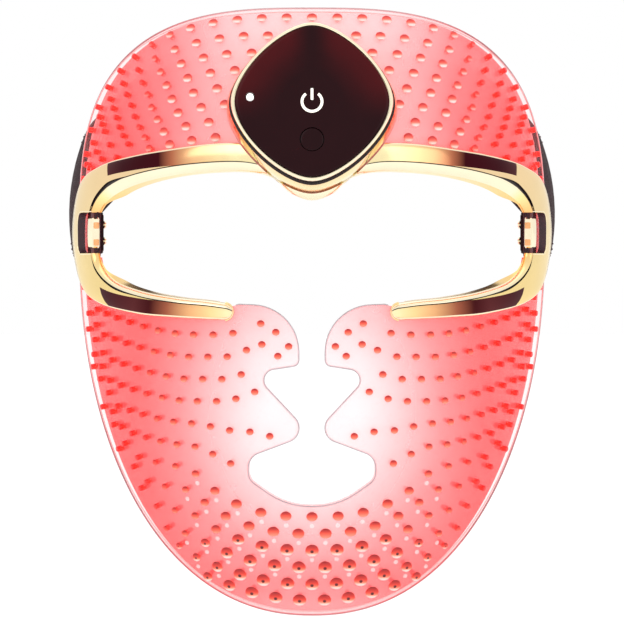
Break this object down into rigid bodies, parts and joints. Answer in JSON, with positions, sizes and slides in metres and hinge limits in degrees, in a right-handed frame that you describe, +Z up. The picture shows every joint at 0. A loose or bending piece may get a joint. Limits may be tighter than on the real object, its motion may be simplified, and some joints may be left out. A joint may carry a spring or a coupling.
{
  "type": "led face mask",
  "caption": "Light-therapy face mask: a flexible silicone sheet with an LED film, a rigid gilt frame round the eye window, a forehead control unit and a head strap on swinging clips.",
  "frame": {"origin": "on the centre line at eye height, inside the mask where the wearer's head is", "axes": "+Z up, +X to the right as seen from the front, +Y from the mask to the back of the head"},
  "size_m": [0.1752, 0.1894, 0.2138],
  "materials": {
    "silicone": "clear pink silicone, satin",
    "led_film": "thin printed film",
    "gilt_plating": "mirror gilt plating on plastic",
    "inner_plastic": "fine satin moulding",
    "panel": "dark red-black gloss",
    "seal": "matt black rubber",
    "diffuser": "milky white",
    "board": "green board laminate",
    "component": "black moulding compound",
    "steel": "bright steel",
    "rivet": "polished copper-coloured brass",
    "battery_foil": "laminated foil pouch",
    "foam": "black foam tape",
    "flat_cable": "amber polyimide",
    "webbing": "dark maroon elastic webbing"
  },
  "bodies": {
    "mask": {"outer_skin": "silicone", "inner_liner": "silicone", "led_film": "led_film", "frame_front": "gilt_plating", "frame_back_upper": "inner_plastic", "frame_back_lower_left": "inner_plastic", "frame_back_lower_right": "inner_plastic", "control_housing": "gilt_plating", "back_plate": "inner_plastic", "back_plate_screw_1": "steel", "back_plate_screw_2": "steel", "back_plate_screw_3": "steel", "back_plate_screw_4": "steel", "seal_ring": "seal", "bezel_ring": "gilt_plating", "front_panel": "panel", "tactile_switch": "component", "status_light_pipe": "diffuser", "status_led": "diffuser", "icon_diffuser": "diffuser", "main_board": "board", "driver_chip": "component", "battery": "battery_foil", "battery_pad": "foam", "charging_socket": "steel", "film_connector": "component", "film_tail": "flat_cable", "strap_pin_left": "steel", "strap_pin_right": "steel", "strap_band": "webbing"},
    "power_button": {"power_button": "panel"},
    "strap_clip_left": {"strap_clip_left": "gilt_plating", "strap_tab_left": "webbing", "clip_rivet_left_upper": "rivet", "clip_rivet_left_lower": "rivet"},
    "strap_clip_right": {"strap_clip_right": "gilt_plating", "strap_tab_right": "webbing", "clip_rivet_right_upper": "rivet", "clip_rivet_right_lower": "rivet"}
  },
  "joints": [
    {"name": "power_button_press", "type": "slide", "parent": "mask", "child": "power_button", "axis": [0, 0.9778, -0.2096], "range_m": [0, 0.0005], "stiffness_N_per_m": 200, "springref_m": -0.002},
    {"name": "strap_clip_left_swing", "type": "hinge", "parent": "mask", "child": "strap_clip_left", "pos_m": [-0.07746, -0.00943, 0], "axis": [0, 0, -1], "range_deg": [0, 12]},
    {"name": "strap_clip_right_swing", "type": "hinge", "parent": "mask", "child": "strap_clip_right", "pos_m": [0.07746, -0.00943, 0], "axis": [0, 0, 1], "range_deg": [0, 12]}
  ]
}
